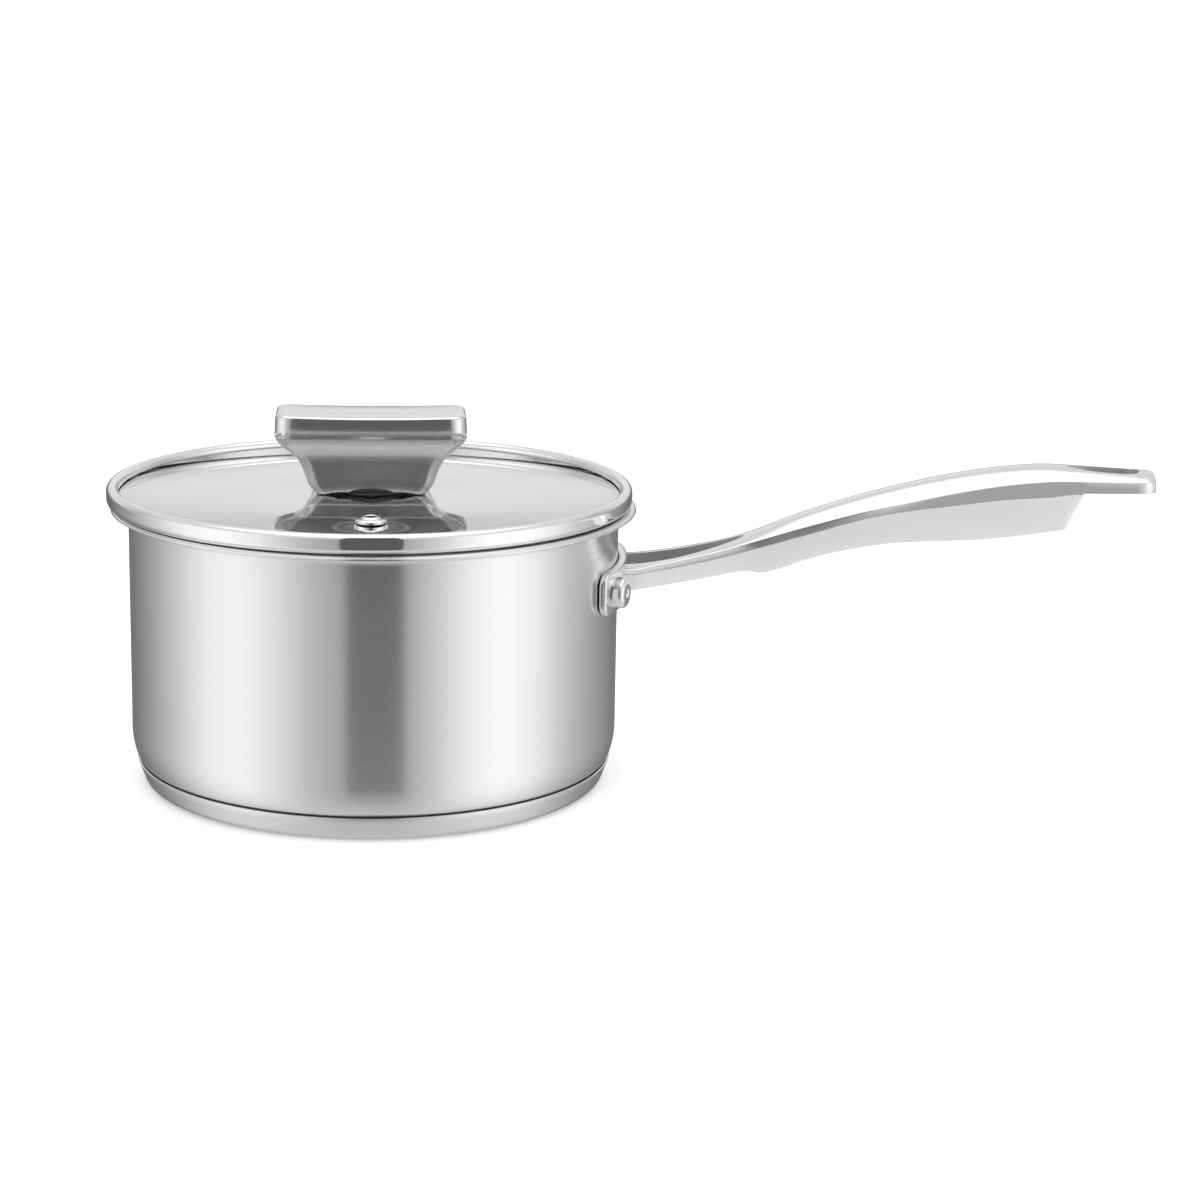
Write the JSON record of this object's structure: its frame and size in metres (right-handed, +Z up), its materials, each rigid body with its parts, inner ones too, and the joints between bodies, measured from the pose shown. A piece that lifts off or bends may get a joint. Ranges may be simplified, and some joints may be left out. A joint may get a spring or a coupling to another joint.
{
  "type": "saucepan",
  "caption": "Stainless steel saucepan with a layered base, flared pouring lip, riveted cast handle with heat slot and hanging eye, and a lift-off flat glass lid with steel rim and knob.",
  "frame": {"origin": "centre of the base, on the surface that the pan stands on", "axes": "+Z up, +X along the handle away from the pan, -Y the side of the lid's vent"},
  "size_m": [0.3893, 0.1952, 0.1389],
  "materials": {
    "pan_steel": "satin brushed around the wall, polished lip",
    "base_steel": "satin",
    "core_aluminium": "rolled",
    "handle_steel": "polished top, satin sides",
    "rivet_steel": "polished",
    "lid_glass": "clear tempered",
    "rim_steel": "mirror polished",
    "knob_steel": "fine satin top, polished sides",
    "fastener_steel": "machined",
    "silicone": "matt moulded"
  },
  "bodies": {
    "pan": {"pan_shell": "pan_steel", "core_disc": "core_aluminium", "base_cap": "base_steel", "handle": "handle_steel", "rivet_near": "rivet_steel", "rivet_far": "rivet_steel"},
    "lid": {"lid_glass": "lid_glass", "lid_rim": "rim_steel", "vent_bush": "silicone", "vent_eyelet": "rim_steel", "knob": "knob_steel", "knob_boss": "fastener_steel", "knob_gasket": "silicone", "lower_gasket": "silicone", "screw_washer": "fastener_steel", "knob_screw": "fastener_steel"}
  },
  "joints": [
    {"name": "lid_lift", "type": "slide", "parent": "pan", "child": "lid", "axis": [0, 0, 1], "range_m": [0, 0.15]}
  ]
}
